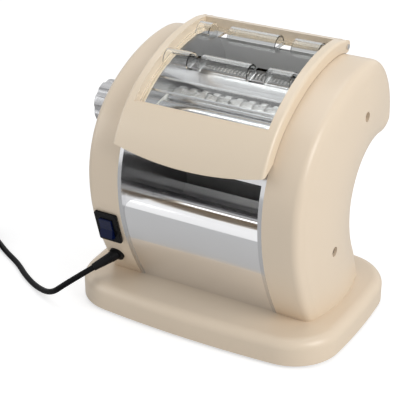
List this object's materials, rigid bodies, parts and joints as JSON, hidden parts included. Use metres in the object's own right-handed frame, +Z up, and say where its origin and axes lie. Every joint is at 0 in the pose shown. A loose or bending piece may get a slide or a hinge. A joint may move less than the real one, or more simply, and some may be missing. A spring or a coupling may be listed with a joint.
{
  "type": "electric pasta maker",
  "caption": "Electric pasta maker with rounded end housings, clear hinged lid, smooth and cutting rollers, gap knob, rocker switch and mains cord.",
  "frame": {"origin": "on the table under the middle of the machine's bounding box, cord left out", "axes": "+X along the rollers to the right-hand housing seen from the front, +Y to the rear, +Z up"},
  "size_m": [0.5113, 0.281, 0.2688],
  "materials": {
    "cream_plastic": "satin gloss cream",
    "lid_cream": "satin gloss cream",
    "chrome_sheet": "polished",
    "steel": "brushed",
    "roller_steel": "ground and plated",
    "zinc": "zinc plated",
    "gear_plastic": "moulded acetal",
    "sintered": "sintered",
    "brass": "turned",
    "rubber": "matt",
    "black_plastic": "fine texture",
    "grey_plastic": "satin grey",
    "clear": "clear polycarbonate",
    "white_plastic": "matt",
    "cord_black": "soft PVC",
    "nickel": "nickel plated"
  },
  "bodies": {
    "frame": {"base_cover": "cream_plastic", "base_plate": "black_plastic", "rubber_feet": "rubber", "base_screws": "zinc", "frame_screws": "zinc", "left_side_plate": "steel", "right_side_plate": "steel", "tie_rods": "steel", "left_housing": "cream_plastic", "right_housing": "cream_plastic", "housing_screws": "zinc", "front_panel": "chrome_sheet", "rear_panel": "steel", "guard_rods": "roller_steel", "cutter_guard": "steel", "bearing_bushes": "brass", "smooth_scrapers": "steel", "cutter_combs": "grey_plastic", "idler_pins": "steel", "retaining_clips": "zinc", "gearbox_case": "grey_plastic", "gearbox_screws": "zinc", "motor_can": "zinc", "motor_cradle": "rubber", "terminal_block": "white_plastic", "switch_body": "black_plastic", "lid_switch": "black_plastic", "cable_gland": "black_plastic", "power_cord": "cord_black", "cord_coil": "cord_black", "plug_body": "cord_black", "plug_pins": "nickel"},
    "lid": {"lid_frame": "lid_cream", "lid_window": "clear", "lid_pins": "steel"},
    "front_roller": {"front_smooth_roller": "roller_steel", "front_pair_gear": "sintered", "front_drive_gear": "gear_plastic"},
    "carriage": {"bearing_block_left": "white_plastic", "bearing_block_right": "white_plastic", "carriage_bars": "steel"},
    "rear_roller": {"rear_smooth_roller": "roller_steel", "rear_pair_gear": "sintered"},
    "adjuster": {"adjuster_spindle": "steel", "adjuster_knob": "grey_plastic"},
    "sheet_idler": {"sheet_idler_gear": "gear_plastic"},
    "motor_output": {"output_shaft": "steel", "motor_gear": "sintered"},
    "cutter_idler": {"cutter_idler_gear": "gear_plastic"},
    "fettuccine_rear": {"fettuccine_cutter_rear": "roller_steel", "fettuccine_gear_rear": "gear_plastic"},
    "fettuccine_front": {"fettuccine_cutter_front": "roller_steel", "fettuccine_gear_front": "gear_plastic"},
    "bridge_idler": {"bridge_idler_gear": "gear_plastic"},
    "tagliolini_rear": {"tagliolini_cutter_rear": "roller_steel", "tagliolini_gear_rear": "gear_plastic"},
    "tagliolini_front": {"tagliolini_cutter_front": "roller_steel", "tagliolini_gear_front": "gear_plastic"},
    "switch": {"switch_rocker": "black_plastic"},
    "interlock": {"lid_switch_plunger": "grey_plastic"}
  },
  "joints": [
    {"name": "lid_hinge", "type": "hinge", "parent": "frame", "child": "lid", "pos_m": [0, 0.06765, 0.25881], "axis": [-1, 0, 0], "range_deg": [0, 105]},
    {"name": "front_roller_spin", "type": "hinge", "parent": "frame", "child": "front_roller", "pos_m": [0, -0.05385, 0.1851], "axis": [1, 0, 0], "continuous": true},
    {"name": "gap_slide", "type": "slide", "parent": "frame", "child": "carriage", "axis": [0, -0.9805, -0.1968], "range_m": [0, 0.0018]},
    {"name": "rear_roller_spin", "type": "hinge", "parent": "carriage", "child": "rear_roller", "pos_m": [0, -0.02445, 0.191], "axis": [1, 0, 0], "continuous": true},
    {"name": "adjuster_turn", "type": "hinge", "parent": "frame", "child": "adjuster", "pos_m": [-0.1, -0.02533, 0.19082], "axis": [-1, 0, 0], "range_deg": [0, 180]},
    {"name": "sheet_idler_spin", "type": "hinge", "parent": "frame", "child": "sheet_idler", "pos_m": [0.096, -0.02366, 0.14524], "axis": [1, 0, 0], "continuous": true},
    {"name": "motor_output_spin", "type": "hinge", "parent": "frame", "child": "motor_output", "pos_m": [0.096, -0.01535, 0.1], "axis": [1, 0, 0], "continuous": true},
    {"name": "cutter_idler_spin", "type": "hinge", "parent": "frame", "child": "cutter_idler", "pos_m": [0.096, 0.01246, 0.17037], "axis": [1, 0, 0], "continuous": true},
    {"name": "fettuccine_rear_spin", "type": "hinge", "parent": "frame", "child": "fettuccine_rear", "pos_m": [0, 0.01861, 0.1894], "axis": [1, 0, 0], "continuous": true},
    {"name": "fettuccine_front_spin", "type": "hinge", "parent": "frame", "child": "fettuccine_front", "pos_m": [0, 0.00165, 0.2], "axis": [1, 0, 0], "continuous": true},
    {"name": "bridge_idler_spin", "type": "hinge", "parent": "frame", "child": "bridge_idler", "pos_m": [0.096, 0.04342, 0.17875], "axis": [1, 0, 0], "continuous": true},
    {"name": "tagliolini_rear_spin", "type": "hinge", "parent": "frame", "child": "tagliolini_rear", "pos_m": [0, 0.06715, 0.19164], "axis": [1, 0, 0], "continuous": true},
    {"name": "tagliolini_front_spin", "type": "hinge", "parent": "frame", "child": "tagliolini_front", "pos_m": [0, 0.05565, 0.208], "axis": [1, 0, 0], "continuous": true},
    {"name": "switch_rock", "type": "hinge", "parent": "frame", "child": "switch", "pos_m": [-0.094, -0.0938, 0.0915], "axis": [1, 0, 0], "range_deg": [0, 22]},
    {"name": "interlock_slide", "type": "slide", "parent": "frame", "child": "interlock", "axis": [0, 0, 1], "range_m": [0, 0.003]}
  ],
  "couplings": [
    {"joint": "rear_roller_spin", "follows": "front_roller_spin", "ratio": -1},
    {"joint": "sheet_idler_spin", "follows": "front_roller_spin", "ratio": -0.47059},
    {"joint": "motor_output_spin", "follows": "front_roller_spin", "ratio": 1.3333},
    {"joint": "cutter_idler_spin", "follows": "front_roller_spin", "ratio": 1.6},
    {"joint": "fettuccine_rear_spin", "follows": "front_roller_spin", "ratio": -1.6},
    {"joint": "fettuccine_front_spin", "follows": "front_roller_spin", "ratio": 1.6},
    {"joint": "bridge_idler_spin", "follows": "front_roller_spin", "ratio": 0.94118},
    {"joint": "tagliolini_rear_spin", "follows": "front_roller_spin", "ratio": -1.6},
    {"joint": "tagliolini_front_spin", "follows": "front_roller_spin", "ratio": 1.6},
    {"joint": "adjuster_turn", "follows": "gap_slide", "rad_per_m": 1743.1},
    {"joint": "interlock_slide", "follows": "lid_hinge", "m_per_rad": 0.001637}
  ]
}
